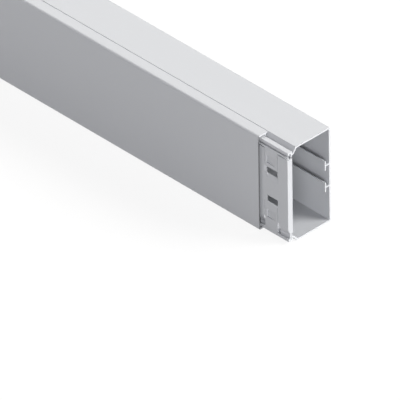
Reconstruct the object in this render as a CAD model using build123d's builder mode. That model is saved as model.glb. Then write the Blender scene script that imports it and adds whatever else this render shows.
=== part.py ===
import os

from build123d import *

# Driving dimensions of the trunking, in millimetres
length = 2000.0
depth = 60.0
height = 110.0
base_wall = 1.8
cover_wall = 1.6
cover_setback = 37.5    # the cover is cut shorter than the base at the sample end
fit_gap = 0.4           # clearance between the cover's barbs and the base's beads
bead_gap = 1.4          # clearance between the cover's walls and the beads
corner_round = 0.4      # rounding of the extruded profiles' corners
back_corner = 1.2       # outer radius of the base's two rear corners

# Cover
cover_leg = 13.1        # depth of the top and bottom legs
cover_corner = 2.2      # outer radius of its two long front corners
joint_gap = 0.6         # open line between a leg's end and the base's shoulder
leg_bevel = 1.0
barb_wall = 1.1
barb_height = 2.4

# Front lips of the base, measured from its top or bottom face
bead_depth = 5.8        # from the upstand's back to the bead's front
hook_reach = 3.4        # height of the hook's front face
step_run = 4.0          # of the slope behind the groove
floor_drop = 5.6        # depth of the groove
nib_wall = 1.4
nib_reach = 2.2         # how far the nib hangs below the groove's floor

# Rails on the back wall, for dividers and device boxes
rail_offset = 12.6      # height of each rail above or below the middle
rail_stem = 4.4
rail_stem_wall = 1.4
rail_flange = 11.0
rail_flange_wall = 1.4

# Fixing slots along the middle of the back wall
slot_length = 14.0
slot_width = 6.5
slot_pitch = 250.0

# Retaining clip
clip_width = 40.0
clip_wall = 1.6
clip_flange = 6.2       # depth of the side flanges over the plate
clip_proud = 0.4        # of the plate before the hooks
clip_gap = 0.3          # round the lips of the base
clip_round = 0.4
clip_inset = 11.3       # from the trunking's top face to the plate's top edge
foot_start = 16.0       # height at which the plate begins to slope back
foot_end = 11.4         # height at which it stands behind the lower hook
foot_round = 12.0       # outer radius of the bend at the slope's start
tongue_left = 8.4       # from the clip's covered side
tongue_width = 17.1
tongue_inset = 7.8      # from the trunking's top face to the tongue's top
wing_height = 2.2       # wings of the tongue's head, above the plate's top edge
tab_gap = 0.4           # between the tab's lower end and the lower hook's tip
tab_round = 1.8
notch_top = 19.4        # height of the notches beside the tab
notch_width = 1.6
slit_width = 0.6        # slits that free the tongue and the tab
window_left = 11.6      # from the clip's covered side
window_width = 14.5
window_height = 7.0
window_taper = 40.0     # degrees by which the windows widen towards the back
upper_window = 75.2     # height of its middle
lower_window = 41.9
ramp_height = 7.0       # ramp that leads up into the upper window
ramp_depth = 1.2
ramp_left = 4.4         # run of the ramp beside the upper window
pocket_left = 11.0      # from the clip's covered side
pocket_width = 12.5
pocket_depth = 1.4
pocket_wall = 1.2
pocket_height = 9.4
upper_pocket = 87.5     # height of its middle
lower_pocket = 23.9

# Planes and levels that the pieces share
end_x = length / 2
rear_y = depth / 2
front_y = -depth / 2
half = height / 2
section_plane = Plane(origin=(-end_x, 0, half), x_dir=(0, 1, 0), z_dir=(1, 0, 0))
bead_front_y = front_y + cover_wall + bead_gap
bead_rear_y = bead_front_y + bead_depth
bead_top = half - cover_wall - bead_gap
hook_tip = bead_top - hook_reach
shoulder_y = front_y + cover_leg + joint_gap
nib_tip = half - floor_drop - base_wall - nib_reach

# Base: the upper half of its profile, mirrored about the middle
with BuildPart() as base_channel:
    with BuildSketch(section_plane) as base_section:
        with BuildLine():
            Polyline(
                (rear_y, 0),
                (rear_y, half),
                (shoulder_y, half),
                (shoulder_y - step_run, half - floor_drop),
                (bead_rear_y, half - floor_drop),
                (bead_rear_y, bead_top),
                (bead_front_y, bead_top),
                (bead_front_y, hook_tip),
            )
            offset(amount=base_wall, side=Side.LEFT, kind=Kind.INTERSECTION)
        make_face()
        with Locations((bead_rear_y - base_wall, nib_tip)):
            Rectangle(nib_wall, base_wall + nib_reach, align=(Align.MIN, Align.MIN))
        with Locations((rear_y - base_wall, rail_offset)):
            Rectangle(rail_stem, rail_stem_wall, align=(Align.MAX, Align.CENTER))
        with Locations((rear_y - base_wall - rail_stem, rail_offset)):
            Rectangle(rail_flange_wall, rail_flange, align=(Align.MAX, Align.CENTER))
        mirror(about=Plane.XZ)
        fillet(base_section.vertices().group_by(Axis.X)[-1], back_corner)
        sharp = base_section.vertices().filter_by_position(Axis.X, front_y, rear_y - base_wall)
        fillet(sharp, corner_round)
    extrude(amount=length)
    with BuildSketch(Plane.XZ.offset(-rear_y)):
        with Locations((0, half)):
            with GridLocations(slot_pitch, 0, int(length // slot_pitch), 1):
                SlotOverall(slot_length, slot_width)
    extrude(amount=base_wall, mode=Mode.SUBTRACT)

# Cover: a shallow channel whose barbs drop into the base's grooves
with BuildPart() as cover:
    with BuildSketch(section_plane) as cover_section:
        with BuildLine():
            Polyline(
                (front_y, 0),
                (front_y, half),
                (front_y + cover_leg, half),
            )
            offset(amount=cover_wall, side=Side.RIGHT, kind=Kind.INTERSECTION)
        make_face()
        leg_end = cover_section.vertices().group_by(Axis.X)[-1]
        chamfer(leg_end.sort_by(Axis.Y)[0], leg_bevel)
        with Locations((bead_rear_y + fit_gap, half - cover_wall)):
            Rectangle(barb_wall, barb_height, align=(Align.MIN, Align.MAX))
        mirror(about=Plane.XZ)
        sharp = cover_section.vertices().filter_by_position(Axis.X, front_y + cover_wall, rear_y)
        fillet(sharp, corner_round)
        fillet(cover_section.vertices().group_by(Axis.X)[0], cover_corner)
    extrude(amount=length - cover_setback)

# Retaining clip: a moulded channel that bridges the opening beside the cover's end
clip_x = end_x - clip_width / 2
clip_left = end_x - clip_width
clip_front_y = bead_front_y - clip_proud
prong_front_y = bead_front_y + base_wall + clip_gap
prong_rear_y = bead_rear_y - base_wall - clip_gap
prong_top = half + bead_top - base_wall - clip_gap
foot_tip = height - prong_top
plate_top = height - clip_inset
flange_rear_y = clip_front_y + clip_flange
tab_foot = half - hook_tip + tab_gap
tongue_x = clip_left + tongue_left + tongue_width / 2 - clip_x
side_slit = (tongue_width + slit_width) / 2
side_notch = (tongue_width + notch_width) / 2
window_x = clip_left + window_left + window_width / 2 - clip_x
window_top = upper_window + window_height / 2
window_foot = upper_window - window_height / 2
tab_slit_top = lower_window - window_height / 2
clip_front = Plane(origin=(clip_x, clip_front_y, 0), x_dir=(1, 0, 0), z_dir=(0, -1, 0))
clip_side = Plane(origin=(clip_left, 0, 0), x_dir=(0, 1, 0), z_dir=(1, 0, 0))
with BuildPart() as retaining_clip:
    # The plate, whose foot slopes back and stands behind the lower hook
    with BuildSketch(clip_side):
        with BuildLine():
            Polyline(
                (clip_front_y, plate_top),
                (clip_front_y, foot_start),
                (prong_front_y, foot_end),
                (prong_front_y, foot_tip),
            )
            offset(amount=clip_wall, side=Side.LEFT, kind=Kind.INTERSECTION)
        make_face()
    extrude(amount=clip_width)
    # Side flanges
    for flange_x in (0, clip_width - clip_wall):
        with BuildSketch(clip_side.offset(flange_x)):
            with BuildLine():
                Polyline(
                    (clip_front_y, plate_top),
                    (flange_rear_y, plate_top),
                    (flange_rear_y, foot_end),
                    (prong_front_y, foot_end),
                    (clip_front_y, foot_start),
                    close=True,
                )
            make_face()
        extrude(amount=clip_wall)
    bends = retaining_clip.edges().filter_by(Axis.X).group_by(Axis.Y)[0]
    fillet(bends.group_by(Axis.Z)[0], foot_round)
    # Bosses behind the pockets
    with BuildSketch(clip_front):
        with Locations((clip_left + pocket_left + pocket_width / 2 - clip_x, upper_pocket),
                       (clip_left + pocket_left + pocket_width / 2 - clip_x, lower_pocket)):
            Rectangle(pocket_width, pocket_height + 2 * pocket_wall)
    extrude(amount=-pocket_depth - pocket_wall)
    # Room for the tab, with a notch on either side
    with BuildSketch(clip_front):
        with Locations((tongue_x, 0)):
            Rectangle(tongue_width + 2 * notch_width, foot_start, align=(Align.CENTER, Align.MIN))
        with Locations((tongue_x - side_notch, 0), (tongue_x + side_notch, 0)):
            Rectangle(notch_width, notch_top, align=(Align.CENTER, Align.MIN))
    extrude(amount=-clip_flange, mode=Mode.SUBTRACT)
    # Slits from the notches to the lower window, and from the upper window to the top
    with BuildSketch(clip_front):
        with Locations((tongue_x - side_slit, notch_top), (tongue_x + side_slit, notch_top)):
            Rectangle(slit_width, tab_slit_top - notch_top, align=(Align.CENTER, Align.MIN))
        with Locations((tongue_x - side_slit, window_top), (tongue_x + side_slit, window_top)):
            Rectangle(slit_width, plate_top - window_top, align=(Align.CENTER, Align.MIN))
    extrude(amount=-clip_wall, mode=Mode.SUBTRACT)
    # The tab, and the tongue whose prong rises behind the upper hook
    with BuildSketch(clip_front) as tab:
        with Locations((tongue_x, tab_foot)):
            Rectangle(tongue_width, notch_top - tab_foot, align=(Align.CENTER, Align.MIN))
        fillet(tab.vertices().group_by(Axis.Z)[0], tab_round)
    extrude(amount=-clip_wall)
    with BuildSketch(clip_side.offset(tongue_left)):
        with BuildLine():
            Polyline(
                (clip_front_y, plate_top),
                (clip_front_y, height - tongue_inset),
                (prong_front_y, height - tongue_inset),
                (prong_front_y, prong_top),
            )
            offset(amount=clip_wall, side=Side.RIGHT, kind=Kind.INTERSECTION)
        make_face()
    extrude(amount=tongue_width)
    with BuildSketch(clip_front):
        with Locations((0, height - tongue_inset)):
            Rectangle(clip_width, wing_height, align=(Align.CENTER, Align.MAX))
    extrude(amount=-clip_wall)
    # Windows, which widen towards the back, and the ramps that lead into the upper one
    with BuildSketch(clip_front):
        with Locations((window_x, upper_window), (window_x, lower_window)):
            Rectangle(window_width, window_height)
    extrude(amount=-clip_wall, taper=-window_taper, mode=Mode.SUBTRACT)
    with BuildSketch(clip_side.offset(window_left)):
        with BuildLine():
            Polyline(
                (clip_front_y, window_foot),
                (clip_front_y + ramp_depth, window_foot),
                (clip_front_y, window_foot - ramp_height),
                close=True,
            )
        make_face()
    extrude(amount=window_width, mode=Mode.SUBTRACT)
    with BuildSketch(Plane.XY.offset(window_foot)):
        with BuildLine():
            Polyline(
                (clip_left + window_left, clip_front_y),
                (clip_left + window_left, clip_front_y + ramp_depth),
                (clip_left + window_left - ramp_left, clip_front_y),
                close=True,
            )
        make_face()
    extrude(amount=window_height, mode=Mode.SUBTRACT)
    # Pockets: deep at the left, running out at the right
    for middle in (upper_pocket, lower_pocket):
        with BuildSketch(Plane.XY.offset(middle - pocket_height / 2)):
            with BuildLine():
                Polyline(
                    (clip_left + pocket_left, clip_front_y),
                    (clip_left + pocket_left, clip_front_y + pocket_depth),
                    (clip_left + pocket_left + pocket_width, clip_front_y),
                    close=True,
                )
            make_face()
        extrude(amount=pocket_height, mode=Mode.SUBTRACT)
    # Rounded outer corners of the channel
    corners = retaining_clip.edges().filter_by(Axis.Z).group_by(Axis.Y)[0]
    fillet(corners.group_by(Axis.X)[0] + corners.group_by(Axis.X)[-1], clip_round)

base_channel.part.label = "base_channel"
cover.part.label = "cover"
retaining_clip.part.label = "retaining_clip"

os.makedirs("parts", exist_ok=True)
export_step(base_channel.part, "parts/base_channel.step")
export_step(cover.part, "parts/cover.step")
export_step(retaining_clip.part, "parts/retaining_clip.step")
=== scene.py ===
import math
import bpy
from mathutils import Matrix, Vector

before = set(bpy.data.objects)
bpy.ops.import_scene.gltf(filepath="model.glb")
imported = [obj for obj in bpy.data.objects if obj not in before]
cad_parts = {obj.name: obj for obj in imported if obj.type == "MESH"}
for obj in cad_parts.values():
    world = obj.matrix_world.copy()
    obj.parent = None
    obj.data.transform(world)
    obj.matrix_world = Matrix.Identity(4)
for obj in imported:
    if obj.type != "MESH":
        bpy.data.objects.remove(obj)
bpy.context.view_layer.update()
scene = bpy.context.scene
scene.view_settings.view_transform = "Standard"
print("frame loaded:", ", ".join(sorted(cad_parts)))


# A value that runs through a material, with Python's own arithmetic where it is a number
class Flow:
    def __init__(self, paint, socket):
        self.paint = paint
        self.socket = socket

    def __add__(self, other):
        return self.paint.maths("ADD", self, other)

    def __radd__(self, other):
        return self.paint.maths("ADD", other, self)

    def __sub__(self, other):
        return self.paint.maths("SUBTRACT", self, other)

    def __rsub__(self, other):
        return self.paint.maths("SUBTRACT", other, self)

    def __mul__(self, other):
        return self.paint.maths("MULTIPLY", self, other)

    def __rmul__(self, other):
        return self.paint.maths("MULTIPLY", other, self)

    def __gt__(self, other):
        return self.paint.maths("GREATER_THAN", self, other)

    def __abs__(self):
        return self.paint.maths("ABSOLUTE", self)


# A node tree under construction, for a material or the world
class Paint:
    def __init__(self, owner):
        owner.use_nodes = True
        self.owner = owner
        self.tree = owner.node_tree
        self.tree.nodes.clear()

    def node(self, kind, settings=None, sockets=None, output=0):
        made = self.tree.nodes.new(kind)
        for name, value in (settings or {}).items():
            setattr(made, name, value)
        for name, value in (sockets or {}).items():
            if isinstance(value, Flow):
                self.tree.links.new(value.socket, made.inputs[name])
            else:
                made.inputs[name].default_value = value
        return Flow(self, made.outputs[output]) if made.outputs else None

    def maths(self, operation, *terms):
        return self.node("ShaderNodeMath", {"operation": operation}, dict(enumerate(terms)))

    def place(self, stretch):
        coords = self.node("ShaderNodeTexCoord", output="Object")
        return self.node("ShaderNodeVectorMath", {"operation": "MULTIPLY"}, {0: coords, 1: stretch})

    def noise(self, stretch, detail=2.0, roughness=0.5):
        sockets = {"Vector": self.place(stretch), "Scale": 1.0, "Detail": detail, "Roughness": roughness}
        return self.node("ShaderNodeTexNoise", None, sockets)

    def tint(self, amount, first, second):
        sockets = {"Factor": amount}
        for slot, colour in ((6, first), (7, second)):   # the Mix node's two colour inputs
            sockets[slot] = colour if isinstance(colour, Flow) else (*colour, 1)
        return self.node("ShaderNodeMix", {"data_type": "RGBA"}, sockets, output=2)

    def plastic(self, finish, colour, roughness, relief):
        sockets = {"Strength": finish["reliefStrength"], "Distance": finish["reliefDepth"], "Height": relief}
        bump = self.node("ShaderNodeBump", None, sockets)
        shader = self.node("ShaderNodeBsdfPrincipled", None, {
            "Base Color": colour, "Roughness": roughness, "Normal": bump, "IOR": finish["refraction"]})
        self.node("ShaderNodeOutputMaterial", None, {"Surface": shader})
        return self.owner


noiseMiddle = 0.5                       # the level about which a noise varies

# Extruded stock: die lines along its length, a fine grain, and sawn ends lighter as painted light, with
# painted shade on the cover's front edge
trunkingFinish = {
    "colour": (0.556, 0.570, 0.592),
    "colourAway": (0.546, 0.560, 0.582),
    # painted light: the sawn ends take a lighter tone than the walls, so they read brighter
    "sawnColourPaintedLight": (0.600, 0.614, 0.635),
    "sawnFrom": 0.9,                    # how squarely a face looks along X before it counts as sawn
    "paintedShadeColour": (0.160, 0.164, 0.171),   # painted shade on the sawn edge of the cover's front wall, dark where the clip shades it
    "paintedShadeFrom": 0.0284,               # metres forward of the middle, where that painted shade starts
    "roughness": 0.40,
    "roughnessSpread": 0.14,
    "sawnRoughness": 0.62,
    "dieLines": (1.5, 700, 700),        # repeats per metre along X, Y and Z
    "grain": (2600, 2600, 2600),
    "clouds": (3, 22, 22),
    "sawMarks": (400, 420, 1500),
    "cloudShare": 0.6,                  # of the change in colour; the die lines make the rest
    "lineShare": 0.7,                   # of the relief; the grain makes the rest
    "sawnRelief": 1.6,
    "reliefStrength": 0.12,
    "reliefDepth": 0.0003,              # metres
    "refraction": 1.53,
}


def extrudedPlastic(name, finish):
    paint = Paint(bpy.data.materials.new(name))
    normal = paint.node("ShaderNodeNewGeometry", output="True Normal")
    alongX = paint.node("ShaderNodeSeparateXYZ", None, {0: normal}, output="X")
    sawn = abs(alongX) > finish["sawnFrom"]
    lines = paint.noise(finish["dieLines"], detail=3.0, roughness=0.6)
    grain = paint.noise(finish["grain"])
    clouds = paint.noise(finish["clouds"])
    marks = paint.noise(finish["sawMarks"], roughness=0.6)
    shade = clouds * finish["cloudShare"] + lines * (1 - finish["cloudShare"])
    drawn = paint.tint(shade, finish["colourAway"], finish["colour"])
    turned = paint.place((1, -1, 1))    # the front looks along -Y
    forward = paint.node("ShaderNodeSeparateXYZ", None, {0: turned}, output="Y")
    # Painted shade: sawn faces forward of that line take the dark grey
    cut = paint.tint(forward > finish["paintedShadeFrom"], finish["sawnColourPaintedLight"], finish["paintedShadeColour"])
    # Sawn faces take the lighter sawn tone, which is painted light
    colour = paint.tint(sawn, drawn, cut)
    roughness = finish["roughness"] + (lines - noiseMiddle) * finish["roughnessSpread"]
    roughness = roughness + sawn * (finish["sawnRoughness"] - finish["roughness"])
    skin = lines * finish["lineShare"] + grain * (1 - finish["lineShare"])
    relief = (1 - sawn) * skin + sawn * marks * finish["sawnRelief"]
    return paint.plastic(finish, colour, roughness, relief)


# Moulded stock of the clip: smoother, with a faint grain and broad marks of its flow in the mould
clipFinish = {
    "colour": (0.560, 0.574, 0.596),
    "colourAway": (0.548, 0.562, 0.584),
    "roughness": 0.36,
    "roughnessSpread": 0.10,
    "grain": (1500, 1500, 1500),
    "flow": (60, 60, 25),
    "reliefStrength": 0.10,
    "reliefDepth": 0.0002,
    "refraction": 1.51,
}


def mouldedPlastic(name, finish):
    paint = Paint(bpy.data.materials.new(name))
    grain = paint.noise(finish["grain"])
    flow = paint.noise(finish["flow"], detail=3.0)
    colour = paint.tint(flow, finish["colourAway"], finish["colour"])
    roughness = finish["roughness"] + (grain - noiseMiddle) * finish["roughnessSpread"]
    return paint.plastic(finish, colour, roughness, grain)


def dress(nodeName, material):
    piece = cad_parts[nodeName]
    piece.data.materials.clear()
    piece.data.materials.append(material)


trunkingPlastic = extrudedPlastic("trunkingPlastic", trunkingFinish)
dress("base_channel", trunkingPlastic)
dress("cover", trunkingPlastic)
dress("retaining_clip", mouldedPlastic("clipPlastic", clipFinish))
print("finishes done")


# Floor and room: white with a faint shadow where they are seen, and a mid grey under a dim sky for the light
room = {
    "floorSize": 60.0,
    "floorDrop": 0.0004,                # below the trunking, so that the two don't share a plane
    "floorShade": 0.45,
    "floorGlow": 1.03,                  # a little over 1, which keeps the open floor white
    "shadowShare": 0.15,                # how much of the object's shadow the seen floor keeps
    "skyLight": 0.03,
}


def seenDirectly(paint):
    camera = paint.node("ShaderNodeLightPath", output="Is Camera Ray")
    glossy = paint.node("ShaderNodeLightPath", output="Is Glossy Ray")
    through = paint.node("ShaderNodeLightPath", output="Is Transmission Ray")
    mirrored = paint.maths("MAXIMUM", glossy, through)
    return paint.maths("MAXIMUM", camera, mirrored)


def buildFloor():
    side = room["floorSize"] / 2
    mesh = bpy.data.meshes.new("floor")
    level = -room["floorDrop"]
    corners = [(-side, -side, level), (side, -side, level), (side, side, level), (-side, side, level)]
    mesh.from_pydata(corners, [], [(0, 1, 2, 3)])
    floor = bpy.data.objects.new("floor", mesh)
    scene.collection.objects.link(floor)
    paint = Paint(bpy.data.materials.new("paleFloor"))
    shade = room["floorShade"]
    cloth = paint.node("ShaderNodeBsdfDiffuse", None, {"Color": (shade, shade, shade, 1)})
    glow = paint.node("ShaderNodeEmission", None, {"Strength": room["floorGlow"]})
    chalk = paint.node("ShaderNodeBsdfDiffuse", None, {"Color": (1, 1, 1, 1)})
    white = paint.node("ShaderNodeMixShader", None, {0: room["shadowShare"], 1: glow, 2: chalk})
    both = paint.node("ShaderNodeMixShader", None, {0: seenDirectly(paint), 1: cloth, 2: white})
    paint.node("ShaderNodeOutputMaterial", None, {"Surface": both})
    mesh.materials.append(paint.owner)


def buildWorld():
    scene.world = bpy.data.worlds.new("studio")
    paint = Paint(scene.world)
    strength = room["skyLight"] + seenDirectly(paint) * (1 - room["skyLight"])
    light = paint.node("ShaderNodeBackground", None, {"Color": (1, 1, 1, 1), "Strength": strength})
    paint.node("ShaderNodeOutputWorld", None, {"Surface": light})


buildFloor()
buildWorld()


# Lamps: towards points from the object to the lamp, and spread is how wide it looks from there, in degrees
warmWhite = (1.01, 1.00, 0.985)
coolWhite = (1.00, 0.99, 1.020)
lamps = {
    "endLow": {"towards": (0.878, 0.443, 0.179), "strength": 0.62, "spread": 30, "colour": warmWhite},
    "endHigh": {"towards": (0.581, 0.527, 0.620), "strength": 3.06, "spread": 30, "colour": warmWhite},
    "endLevel": {"towards": (0.970, -0.220, 0.030), "strength": 1.25, "spread": 20, "colour": warmWhite},
    "frontRight": {"towards": (0.724, -0.650, 0.232), "strength": 1.40, "spread": 40, "colour": coolWhite},
    "frontLeft": {"towards": (-0.590, -0.618, 0.519), "strength": 0.44, "spread": 30, "colour": coolWhite},
    "backLeft": {"towards": (-0.526, 0.618, 0.585), "strength": 0.80, "spread": 30, "colour": warmWhite},
}


def buildLamp(name, lamp):
    light = bpy.data.lights.new(name, "SUN")
    light.energy = lamp["strength"]
    light.color = lamp["colour"]
    light.angle = math.radians(lamp["spread"])
    holder = bpy.data.objects.new(name, light)
    holder.rotation_euler = Vector(lamp["towards"]).to_track_quat("Z", "Y").to_euler()
    scene.collection.objects.link(holder)


for lampName, lamp in lamps.items():
    buildLamp(lampName, lamp)
print("floor, room and lamps done")


# Camera: the photograph is a parallel view, so the lens is very long
shot = {
    "azimuth": 46.221,                  # degrees, from the front towards the exposed end
    "elevation": 35.306,
    "roll": -0.83,
    "lens": 1600.0,                     # millimetres, as the sensor is
    "sensor": 36.0,
    "frameWidth": 0.38336,              # metres across the frame, at the point it aims at
    "aim": (0.94148, -0.08800, 0.05438),   # the point at the middle of the frame
}


def buildCamera():
    azimuth, elevation = math.radians(shot["azimuth"]), math.radians(shot["elevation"])
    ahead = Vector((-math.sin(azimuth) * math.cos(elevation),
                    math.cos(azimuth) * math.cos(elevation), -math.sin(elevation)))
    right = Vector((math.cos(azimuth), math.sin(azimuth), 0))
    up = right.cross(ahead)
    turn = Matrix((right, up, -ahead)).transposed().to_4x4()
    roll = Matrix.Rotation(math.radians(shot["roll"]), 4, "Z")
    lens = bpy.data.cameras.new("camera")
    lens.lens = shot["lens"]
    lens.sensor_width = shot["sensor"]
    distance = shot["frameWidth"] * shot["lens"] / shot["sensor"]
    holder = bpy.data.objects.new("camera", lens)
    holder.matrix_world = Matrix.Translation(Vector(shot["aim"]) - ahead * distance) @ turn @ roll
    scene.collection.objects.link(holder)
    scene.camera = holder


buildCamera()
print("camera done")
